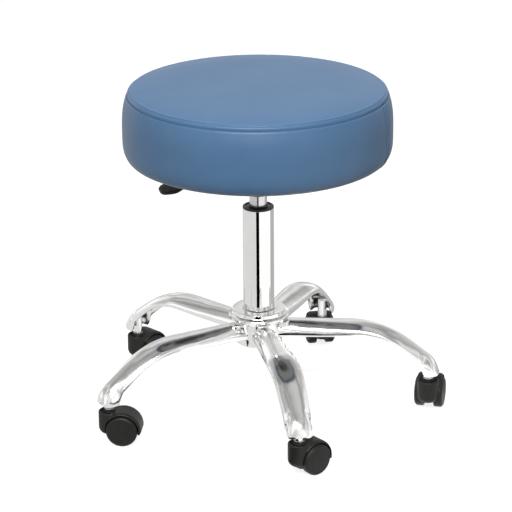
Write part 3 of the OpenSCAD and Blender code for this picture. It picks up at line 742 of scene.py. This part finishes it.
for i, place, turn in zip(CASTERS, stem_places, trail_turns):
    at = (*place, 0)
    spin = turn - trail_turns[0]
    hood_points = turned((hood_home, []), spin, at)[0]
    add_piece(f"soft_hood_{i}", placed(hood_mesh, hood_points, f"soft_hood_{i}"), caster_plastic,
              f"caster_{i}", [f"caster_hood_{i}"])
    for side, word in ((1, "left"), (-1, "right")):
        add_piece(f"moulded_wheel_{word}_{i}", turned(lying(wheel, side), turn, at), wheel_plastic,
                  f"{word}_wheel_{i}", [f"wheel_{word}_{i}"])
    add_piece(f"plated_stem_{i}", turned(stem, 0, at), zinc, "base", [f"caster_stem_{i}"])
print("casters", len(stem_places))

# %% [markdown]
# ## The lever
# The lever is a bent steel bar with a moulded paddle pushed on its end. The bar is a round section on a path.
# The paddle is a stadium section, a flat bar with full-round edges, whose half width and half thickness
# change along the handle: a round socket flowing into a flat blade with a closed, rounded tip.

# %% Bar and paddle
lever_z = middle("lever_pin")[2]
pivot_x = middle("lever_pin")[0]
bar_r = 4.5
bend_x = -62.0
slope = math.atan(0.25)
bar_end = 5.0


def along(path, section):
    """Carries section[row, col, (y, across)] along a path in the XZ plane, square to the path's direction."""
    ahead = np.gradient(path, axis=0)
    ahead /= np.linalg.norm(ahead, axis=1)[:, None]
    across = np.stack([-ahead[:, 1], ahead[:, 0]], -1)
    x = path[:, None, 0] + section[..., 1] * across[:, None, 0]
    z = path[:, None, 1] + section[..., 1] * across[:, None, 1]
    return capped_grid(np.stack([x, section[..., 0], z], -1))


outer_end = (bend_x - 56 * math.cos(slope), lever_z - 56 * math.sin(slope))
bar_path = rounded([(bar_end, lever_z), (bend_x, lever_z), outer_end], [0, 14, 0], 12, closed=False)
lengths = np.concatenate([[0], np.cumsum(np.linalg.norm(np.diff(bar_path, axis=0), axis=1))])
steps = np.concatenate([[0, 0.25, 0.7], np.linspace(1.4, lengths[-1] - 0.7, 60), [lengths[-1]]])
bar_path = np.stack([np.interp(steps, lengths, bar_path[:, k]) for k in (0, 1)], -1)
bar_size = bar_r * np.concatenate([[0.75, 0.9, 0.98], np.ones(61)])
t = np.linspace(0, 2 * np.pi, 32, endpoint=False)
circle = bar_size[:, None, None] * np.stack([np.cos(t), np.sin(t)], -1)[None]
add_piece("lever_bar", along(bar_path, circle), powder_coat, "lever", ["lever_rod"])

blade_half, socket_half = 2.75, 7.5
u = np.concatenate([[47.6, 48, 48.7], np.linspace(50, 122, 56),
                    127 - 5 * np.cos(np.linspace(0.2, 1.54, 12))])
knots_u = [47, 70, 76, 80, 88, 94, 99, 104, 109, 115, 122, 127]
knots_w = [7.5, 7.7, 9.0, 11, 16.5, 22, 26, 28, 27.3, 23.6, 18.0, 14.5]
half_wide = np.interp(u, knots_u, knots_w)
half_wide = np.convolve(np.pad(half_wide, 3, mode="edge"), np.ones(7) / 7, mode="valid")
flatter = np.clip((u - 66) / 22, 0, 1)
half_thick = blade_half + (socket_half - blade_half) * (1 - flatter) ** 2 * (1 + 2 * flatter)
start = np.sqrt(1 - np.clip((48.7 - u) / 1.3, 0, 1) ** 2 * 0.35)
tip = np.sqrt(np.maximum(1 - np.clip((u - 121) / 6, 0, 1) ** 2, 1e-4))
half_thick = half_thick * start * (0.35 + 0.65 * tip)
half_wide = half_wide * start - 9 * (1 - tip)
edge = np.minimum(half_thick, half_wide)
turn = np.linspace(0, 2 * np.pi, 56, endpoint=False)
flat = (half_wide - edge)[:, None] * np.tanh(6 * np.cos(turn))
ribs = np.stack([flat + edge[:, None] * np.cos(turn), half_thick[:, None] * np.sin(turn)], -1)
past_bend = u - (pivot_x - bend_x)
blade = np.stack([bend_x - past_bend * math.cos(slope), lever_z - past_bend * math.sin(slope)], -1)
add_piece("lever_handle", along(blade, ribs), lever_plastic, "lever", ["lever_paddle"])
print("lever from", round(blade[0, 0], 1), "to", round(blade[-1, 0], 1))

# %% [markdown]
# ## The seat cushion
# A foam pad on a plywood board wears a sewn vinyl cover: a round top panel, and a side band that turns under
# and is stapled to the board. The pad is a surface of revolution with a flat crown, a band that leans out and
# a full, rounded underside. The seam, the top-stitch and the band's one join are pressed into the surface,
# and a short cloth simulation with air pressure swells the panels between those held lines.

# %% The cushion's profile
seam_r, wide_r = reach("seat_top_panel", 0, 1), reach("seat_side_band", 0, 1)
seam_z, crown_z = reach("seat_side_band", 2, 1), reach("seat_top_panel", 2, 1)
under_z = reach("seat_side_band", 2, 0)
flat_r = 120.0
upper_drop = 72.0
hem_r = 158.0


def top_line(r):
    """(r, z) of the top panel: flat to flat_r, then falling by the power 2.4 to the seam."""
    part = np.clip((r - flat_r) / (seam_r - flat_r), 0, 1)
    return np.stack([r, seam_z + (crown_z - seam_z) * (1 - part ** 2.4)], -1)


def band_upper(drop):
    """(r, z) of the band at a drop below the seam: it leans out by the power 3.35."""
    part = 1 - drop / upper_drop
    return np.stack([wide_r - (wide_r - seam_r) * part ** 3.35, seam_z - drop], -1)


def band_lower(angle):
    """(r, z) of the band's rounded underside, a quarter superellipse of power 2.9."""
    centre_r, power = 183.4, 2 / 2.9
    mid_z = seam_z - upper_drop
    return np.stack([centre_r + (wide_r - centre_r) * np.maximum(np.cos(angle), 0) ** power,
                     mid_z - (mid_z - under_z) * np.sin(angle) ** power], -1)


def cushion_profile(step, fine):
    """The whole profile from the crown's centre to the underside's, and each point's length from the seam.
    Points are `fine` apart near the seam and the top-stitch, and `step` apart elsewhere."""
    r_top = np.concatenate([[0, 2.5, 6], np.arange(12, seam_r - 9, step),
                            np.arange(seam_r - 8, seam_r, fine)])
    drops = np.concatenate([np.arange(0, 13, fine), np.arange(14, upper_drop, step)])
    dense = band_lower(np.linspace(0, np.pi / 2, 400))
    far = np.concatenate([[0], np.cumsum(np.linalg.norm(np.diff(dense, axis=0), axis=1))])
    at = np.arange(0, far[-1], step)
    lower = np.stack([np.interp(at, far, dense[:, k]) for k in (0, 1)], -1)
    under = np.array([[180, under_z], [172, under_z], [165, under_z], [hem_r, under_z + 0.1],
                      [hem_r - 2, under_z + 1.6], [hem_r - 5, under_z + 2.6], [100, under_z + 2.8],
                      [40, under_z + 2.8], [0, under_z + 2.8]])
    profile = np.concatenate([top_line(r_top), band_upper(drops), lower, under])
    length = np.concatenate([[0], np.cumsum(np.linalg.norm(np.diff(profile, axis=0), axis=1))])
    return profile, length - length[len(r_top)]


def normals_of(profile):
    """Unit normals of a profile that runs from the top centre outwards and down: outwards is (-dz, dr)."""
    d = np.gradient(profile, axis=0)
    n = np.stack([-d[:, 1], d[:, 0]], -1)
    return n / np.linalg.norm(n, axis=1)[:, None]


print("seat radius", round(wide_r, 1), "seam", round(seam_r, 1), "crown", round(crown_z, 1))

# %% A pressure simulation on a coarse cushion
JOIN_TURN = math.radians(328.4)
SIM_SEGMENTS = 192
SIM_CAP = 1.9
SLOW_WAVES = 12
AIR_FRAMES = 20


def past_join(turns):
    """How far each turn lies past the band's join, from -pi to pi."""
    return (turns - JOIN_TURN + np.pi) % (2 * np.pi) - np.pi


def swelling(profile, length):
    """How each panel of a coarse cushion swells under air pressure while its sewn lines are held.
    Returns the outward shift on a grid of profile points by turns, scaled to SIM_CAP mm at its largest."""
    turns = np.linspace(0, 2 * np.pi, SIM_SEGMENTS, endpoint=False)
    body = profile[1:-1]
    grid = np.stack([body[:, :1] * np.cos(turns), body[:, :1] * np.sin(turns), body[:, 1:] + 0 * turns], -1)
    shell = capped_grid(grid)
    shell[0][-2:] = [[0, 0, profile[0, 1]], [0, 0, profile[-1, 1]]]
    pad = bpy.data.objects.new("pad_to_swell", make_mesh("pad_to_swell", shell))
    bpy.context.scene.collection.objects.link(pad)
    s = length[1:-1]
    off_join = np.abs(past_join(turns)) * wide_r
    held = (np.abs(s) < 3)[:, None] | (s > 150)[:, None] | ((s > 0)[:, None] & (off_join < 8)[None])
    group = pad.vertex_groups.new(name="sewn")
    group.add([int(v) for v in np.flatnonzero(held.ravel())], 1.0, "REPLACE")
    cloth = pad.modifiers.new("air", "CLOTH")
    cloth.settings.use_pressure = True
    cloth.settings.uniform_pressure_force = 4.0
    cloth.settings.vertex_group_mass = "sewn"
    cloth.settings.tension_stiffness = 40
    cloth.settings.compression_stiffness = 40
    cloth.settings.bending_stiffness = 8
    cloth.settings.effector_weights.gravity = 0.0
    scene = bpy.context.scene
    cloth.point_cache.frame_start, cloth.point_cache.frame_end = 1, AIR_FRAMES
    for step in range(1, AIR_FRAMES + 1):
        scene.frame_set(step)
        bpy.context.view_layer.update()
    graph = bpy.context.evaluated_depsgraph_get()
    moved = mesh_points(pad.evaluated_get(graph).data) / MM
    scene.frame_set(1)
    bpy.data.objects.remove(pad)
    n = normals_of(profile)[1:-1]
    out = np.stack([n[:, :1] * np.cos(turns), n[:, :1] * np.sin(turns), n[:, 1:] + 0 * turns], -1)
    shift = ((moved[:-2] - shell[0][:-2]).reshape(out.shape) * out).sum(-1)
    # Thick vinyl over foam takes only the slow waves, so the quick ones are left out
    waves = np.fft.rfft(shift, axis=1)
    waves[:, SLOW_WAVES:] = 0
    shift = np.fft.irfft(waves, SIM_SEGMENTS, axis=1)
    return s, turns, shift * SIM_CAP / np.abs(shift).max()


coarse_profile, coarse_length = cushion_profile(7.0, 3.0)
swell = swelling(coarse_profile, coarse_length)
print("swelling from", round(float(swell[2].min()), 2), "to", round(float(swell[2].max()), 2), "mm")

# %% Seams pressed into the surface
STITCH_DROP = 8.0
STITCH_PITCH = 4.0
JOIN_STITCH = 8.5


def bell(x, width):
    """A smooth bump of height 1 at 0, exp(-(x / width)^2)."""
    return np.exp(-(x / width) ** 2)


def ripple(turns, seed, waves):
    """A slow, repeatable wave round the seat: a sum of cosines with fixed random phases."""
    source = np.random.default_rng(seed)
    phase = source.uniform(0, 2 * np.pi, len(waves))
    size = source.uniform(0.5, 1.0, len(waves))
    return (size[:, None] * np.cos(np.outer(waves, turns) + phase[:, None])).sum(0) / size.sum()


def seam_shift(s, r, turns):
    """Outward shift in millimetres at length s from the seam, radius r and turn, as a grid."""
    s, r, t = s[:, None], r[:, None], turns[None]
    pull = ripple(turns, 3, np.array([37, 61, 83, 109, 140]))[None]
    slow = ripple(turns, 5, np.array([2, 3, 5, 7, 11]))[None]
    shift = -2.1 * bell(s, 1.2) + 0.45 * bell(s + 3.2, 2.2) + 0.55 * bell(s - 3.8, 2.4)
    shift = shift - 1.2 * bell(s - STITCH_DROP, 1.3) + 0.3 * bell(s - STITCH_DROP - 4, 3)
    shift = shift + 0.22 * pull * (bell(s - STITCH_DROP - 3, 7) + 0.7 * bell(s + 5, 6))
    shift = shift + 0.5 * slow * bell(s - 60, 45)
    across = past_join(t) * r
    on_band = np.clip((s - 0.5) / 2, 0, 1) * np.clip((150 - s) / 8, 0, 1)
    join = -2.0 * bell(across, 1.2) + 0.75 * bell(np.abs(across) - 4.2, 3.0)
    join = join - 0.8 * bell(np.abs(across) - JOIN_STITCH, 1.1)
    under_join = ripple(s[:, 0] / 20, 9, np.array([3, 5, 8]))[:, None]
    join = join + 0.25 * under_join * bell(np.abs(across) - 11, 7)
    return shift + join * on_band


def swell_at(s, turns):
    """The simulated shift, read between the coarse cushion's points."""
    if swell is None:
        return np.zeros((len(s), len(turns)))
    coarse_s, coarse_turns, shift = swell
    rows = np.stack([np.interp(s, coarse_s, shift[:, j]) for j in range(shift.shape[1])], 1)
    return np.stack([np.interp(turns, coarse_turns, row, period=2 * np.pi) for row in rows], 0)


# %% The cover as one closed surface
profile, length = cushion_profile(3.8, 0.7)
even = np.linspace(0, 2 * np.pi, 520, endpoint=False)
clear = np.abs(past_join(even)) * wide_r > 16
cushion_turns = np.sort(np.concatenate([even[clear], JOIN_TURN + np.linspace(-15.5, 15.5, 46) / wide_r]))
body, body_length, out = profile[1:-1], length[1:-1], normals_of(profile)[1:-1]
# The panels start drawn in a little, because the air then swells them out
drawn_in = 0.8 * bell(body_length - 75, 60) + 1.0 * bell(body_length + 110, 90)
shift = seam_shift(body_length, body[:, 0], cushion_turns) + swell_at(body_length, cushion_turns)
if swell is not None:
    shift = shift - drawn_in[:, None]
moved_r = body[:, :1] + out[:, :1] * shift
moved_z = body[:, 1:] + out[:, 1:] * shift
cushion_grid = np.stack([moved_r * np.cos(cushion_turns), moved_r * np.sin(cushion_turns), moved_z], -1)
cushion = capped_grid(cushion_grid)
cushion_piece = add_piece("seat_cushion", cushion, blue_vinyl, "seat",
                          ["seat_foam", "seat_top_panel", "seat_side_band"])
print("cushion faces", len(cushion_piece.data.polygons))

# %% [markdown]
# ### Stitches
# A lockstitch shows as a row of short threads, each dipping into its hole at both ends. One stitch is a small
# bent tube; all of them are placed at once from three arrays: where, along which way, and facing which way.

# %% Top-stitch round the band and two rows beside the join
THREAD_R = 0.42
THREAD_SIDES = 6


def on_cushion(s, turns):
    """Points of the finished cover at lengths s and turns, one for each pair."""
    row = np.interp(s, body_length, np.arange(len(body_length)))
    i = np.clip(row.astype(int), 0, len(body_length) - 2)
    share = (row - i)[:, None]

    def on_ring(k, turn):
        """The cover's point at a turn on ring k of its grid."""
        return [np.interp(turn, cushion_turns, cushion_grid[k, :, a], period=2 * np.pi) for a in range(3)]

    above = np.array([on_ring(k, turn) for k, turn in zip(i, turns)])
    below = np.array([on_ring(k + 1, turn) for k, turn in zip(i, turns)])
    return above * (1 - share) + below * share


def stitch_row(s, turns, closed):
    """Stitches through the given points: each is a tube that bows out by 0.38 mm in the middle and dips
    0.75 mm below the cover at its ends."""
    at = on_cushion(s, turns)
    after = np.roll(at, -1, 0) if closed else np.concatenate([at[1:], at[-1:] * 2 - at[-2:-1]])
    ahead = after - at
    ahead /= np.linalg.norm(ahead, axis=1)[:, None]
    outwards = at * [1, 1, 0]
    outwards /= np.linalg.norm(outwards, axis=1)[:, None]
    outwards -= (outwards * ahead).sum(1)[:, None] * ahead
    outwards /= np.linalg.norm(outwards, axis=1)[:, None]
    side = np.cross(ahead, outwards)
    x = np.array([-1.75, -1.5, -0.9, 0, 0.9, 1.5, 1.75])
    lift = np.array([-0.75, -0.2, 0.28, 0.38, 0.28, -0.2, -0.75])
    thick = THREAD_R * np.array([0.6, 0.9, 1, 1, 1, 0.9, 0.6])
    around = np.linspace(0, 2 * np.pi, THREAD_SIDES, endpoint=False)[:, None]
    spine = at[:, None] + x[:, None] * ahead[:, None] + lift[:, None] * outwards[:, None]
    ring = np.cos(around) * outwards[:, None, None] + np.sin(around) * side[:, None, None]
    points = spine[:, :, None] + thick[:, None, None] * ring
    one = capped_grid(points[0])[1]
    count = len(x) * THREAD_SIDES
    ends = np.stack([spine[:, 0], spine[:, -1]], 1)
    every = np.concatenate([points.reshape(len(at), count, 3), ends], 1)
    starts = (np.arange(len(at)) * (count + 2))[:, None, None]
    faces = [(f[None] + starts).reshape(-1, f.shape[1]) for f in one]
    return outward((every.reshape(-1, 3), faces))


round_count = int(2 * np.pi * seam_r / STITCH_PITCH)
round_turns = np.arange(round_count) * 2 * np.pi / round_count
round_row = stitch_row(np.full(round_count, STITCH_DROP), round_turns, True)
down = np.arange(12, 142, STITCH_PITCH)
down_r = np.interp(down, body_length, body[:, 0])
rows = [stitch_row(down, JOIN_TURN + side * JOIN_STITCH / down_r, False) for side in (-1, 1)]
add_piece("seat_stitches", joined([round_row] + rows), thread_blue, "seat")
print("stitches", round_count + 2 * len(down))

# %% [markdown]
# ## Under the seat
# A grey non-woven cloth keeps dust out. It is stapled round the hem, so it puckers a little at each staple
# and sags a little between the hem and the plate that presses it to the board.

# %% Dust cover
cover_r = reach("dust_cover", 0, 1)
staples = 36
cloth_thick, pucker_depth, sag_depth, scallop_depth = 0.45, 0.7, 2.2, 0.6
plate_half = reach("seat_plate", 0, 1)
ring_r = np.concatenate([[3, 10], np.arange(20, 150, 5), np.arange(150, cover_r, 1.6), [cover_r]])
cover_turns = np.linspace(0, 2 * np.pi, 360, endpoint=False)
plate_z = reach("seat_plate", 2, 1)
hem_z = reach("dust_cover", 2, 0)
rise = np.clip((hem_r + 1 - ring_r) / 4, 0, 1)
sag = sag_depth * np.sin(np.pi * np.clip((ring_r - plate_half - 8) / (hem_r - plate_half - 10), 0, 1))
pucker = np.clip((ring_r - 120) / 45, 0, 1) ** 2 * np.clip((cover_r + 1 - ring_r) / 4, 0, 1)
wave = np.cos(staples * cover_turns)
cover_z = (hem_z + 0.05 + (plate_z - hem_z) * rise - sag)[:, None]
cover_z = cover_z - pucker_depth * pucker[:, None] * (0.5 - 0.5 * wave)
at_hem = (ring_r > cover_r - 3)[:, None]
grid_r = ring_r[:, None] + scallop_depth * at_hem * (wave - 1)
lower = np.stack([grid_r * np.cos(cover_turns), grid_r * np.sin(cover_turns), cover_z], -1)
upper = lower[::-1] + [0, 0, cloth_thick]
cover_shell = capped_grid(np.concatenate([lower, upper]))
add_piece("under_cloth", cover_shell, dust_cloth, "seat", ["dust_cover"])
print("dust cover radius", round(cover_r, 1), "with", staples, "puckers")

# %% Edges for the plate, its socket and the bolts


def bevelled_copy(name, node_name, width, material, body):
    """A copy of a CAD part with its edges broken by a small bevel."""
    made = merged_copy(node_name)
    bevel = made.modifiers.new("edges", "BEVEL")
    bevel.width = width * MM
    bevel.segments = 2
    bevel.limit_method = "ANGLE"
    bevel.angle_limit = math.radians(40)
    bevel.harden_normals = False
    flat_faces = made.modifiers.new("flats", "WEIGHTED_NORMAL")
    flat_faces.keep_sharp = True
    mesh = applied(made)
    mesh.polygons.foreach_set("use_smooth", np.full(len(mesh.polygons), True))
    return add_piece(name, mesh, material, body, [node_name])


bevelled_copy("pressed_plate", "seat_plate", 0.5, powder_coat, "seat")
bevelled_copy("plate_screws", "plate_bolts", 0.35, zinc, "seat")

# %% [markdown]
# ## Light, floor and camera
# The stool stands on a pale floor in a bright studio. Polished metal shows what surrounds it, so the sky is
# uneven: soft patches of it give the arms their liquid greys and whites. Matt surfaces see the same sky much
# dimmer, so that the lamps shape them. The overhead lamp lights the seat's top and reflections miss it; the
# wide key lamp, high up on the camera's side, lays a soft sheen on the band. A few cards that only
# reflections see give the column its bands: a dark one towards the camera makes the black line, and grey ones
# darken the sides.

# %% Floor and world
stage_white, _, white_shader, _ = new_material("studio_floor", Roughness=0.9)
white_shader.inputs["Base Color"].default_value = colour(0.3, 0.3, 0.3)
white_shader.inputs["Emission Color"].default_value = colour(1, 1, 1)
white_shader.inputs["Emission Strength"].default_value = 0.82


def stage_sheet(name, corners, material):
    """One flat four-cornered sheet that belongs to the studio, with corners in metres."""
    mesh = bpy.data.meshes.new(name)
    mesh.from_pydata([tuple(map(float, c)) for c in corners], [], [(0, 1, 2, 3)])
    mesh.materials.append(material)
    sheet = bpy.data.objects.new(name, mesh)
    bpy.context.scene.collection.objects.link(sheet)
    return sheet


floor_half = 14.0
floor_corners = [(x * floor_half, y * floor_half, 0) for x, y in ((-1, -1), (1, -1), (1, 1), (-1, 1))]
floor = stage_sheet("floor", floor_corners, stage_white)
floor.visible_diffuse = False
world = bpy.data.worlds.new("studio")
bpy.context.scene.world = world
world.use_nodes = True
sky = world.node_tree
sky.nodes["Background"].inputs["Color"].default_value = colour(1, 1, 1)
sky_way = sky.nodes.new("ShaderNodeTexCoord").outputs["Generated"]
sky_height = node(sky, "SeparateXYZ", {"Vector": sky_way}).outputs["Z"]
upper = ramp(sky, sky_height, 0.15, 0.85, 1.0, 0.5)
lower = ramp(sky, sky_height, -0.35, 0.0, 0.5, 1.0)
whole = maths(sky, "MULTIPLY", upper, lower)
matt_share = 0.38
darkest_patch, brightest_patch = 0.58, 1.3
on_matt = sky.nodes.new("ShaderNodeLightPath").outputs["Is Diffuse Ray"]
dimmed = maths(sky, "MULTIPLY", whole, ramp(sky, on_matt, 0.0, 1.0, 1.0, matt_share))
patches = node(sky, "TexNoise", {"Vector": sky_way, "Scale": 2.6, "Detail": 1.0}).outputs["Fac"]
uneven = maths(sky, "MULTIPLY", dimmed, ramp(sky, patches, 0.38, 0.62, darkest_patch, brightest_patch))
sky.links.new(uneven, sky.nodes["Background"].inputs["Strength"])
print("floor", 2 * floor_half, "m wide, patches of sky from", darkest_patch, "to", brightest_patch)

# %% Camera
camera_place = (-0.789, -3.527, 1.5787)
view_heading = math.radians(12.544)
view_tilt = math.radians(20.056)
view_roll = math.radians(-0.42)
camera_data = bpy.data.cameras.new("camera")
camera_data.lens = 168.75
camera_data.sensor_width = 36.0
camera_data.clip_end = 60.0
camera = bpy.data.objects.new("camera", camera_data)
bpy.context.scene.collection.objects.link(camera)
level = math.cos(view_tilt)
ahead = np.array([math.sin(view_heading) * level, math.cos(view_heading) * level, -math.sin(view_tilt)])
right = np.array([math.cos(view_heading), -math.sin(view_heading), 0.0])
up = np.cross(right, ahead)
tilted_right = math.cos(view_roll) * right + math.sin(view_roll) * up
tilted_up = math.cos(view_roll) * up - math.sin(view_roll) * right
turn_matrix = Matrix(np.stack([tilted_right, tilted_up, -ahead], 1).tolist()).to_4x4()
camera.matrix_world = Matrix.Translation(camera_place) @ turn_matrix
bpy.context.scene.camera = camera

# %% Lamps
bpy.context.scene.view_settings.view_transform = "Standard"


def soft_lamp(name, place, target, size, power):
    """A rectangular area lamp at place that looks at target, in metres and watts."""
    data = bpy.data.lights.new(name, "AREA")
    data.shape = "RECTANGLE"
    data.size, data.size_y = size
    data.energy = power
    lamp = bpy.data.objects.new(name, data)
    bpy.context.scene.collection.objects.link(lamp)
    lamp.location = place
    lamp.rotation_euler = (Vector(place) - Vector(target)).to_track_quat("Z", "Y").to_euler()
    return lamp


overhead = soft_lamp("overhead", (0.2, 0.3, 2.7), (0, 0, 0.4), (2.2, 2.2), 42)
overhead.visible_glossy = False
soft_lamp("key", (-0.75, -2.35, 2.35), (0, 0, 0.5), (2.2, 0.6), 125)
print("lamps", [lamp.name for lamp in bpy.data.lights])

# %% Cards that only reflections see


def card(name, turn_from, turn_to, tone):
    """A wedge just over the floor, between two turns about the column, that only reflections see."""
    near, far, height = 0.25, 9.0, 0.002
    material, _, shader, _ = new_material(name, Roughness=1.0, Specular_IOR_Level=0.0)
    shader.inputs["Base Color"].default_value = colour(0, 0, 0)
    shader.inputs["Emission Color"].default_value = colour(tone, tone, tone)
    shader.inputs["Emission Strength"].default_value = 1.0
    a, b = math.radians(turn_from), math.radians(turn_to)
    corners = [(r * math.cos(turn), r * math.sin(turn), height)
               for r, turn in ((near, a), (far, a), (far, b), (near, b))]
    made = stage_sheet(name, corners, material)
    made.visible_camera = False
    made.visible_diffuse = False
    made.visible_shadow = False
    made.visible_transmission = False
    made.visible_volume_scatter = False
    return made


to_camera = math.degrees(math.atan2(camera_place[1], camera_place[0]))
for word, turn_from, turn_to, tone in (("grey_edge", -210, -150, 0.55), ("pale_left", -150, -16, 0.86),
                                       ("dark_line", -16, 6, 0.0), ("white_right", 6, 96, 1.3),
                                       ("grey_right", 96, 150, 0.55)):
    card(word, to_camera + turn_from, to_camera + turn_to, tone)
print("camera turn", round(to_camera, 1))
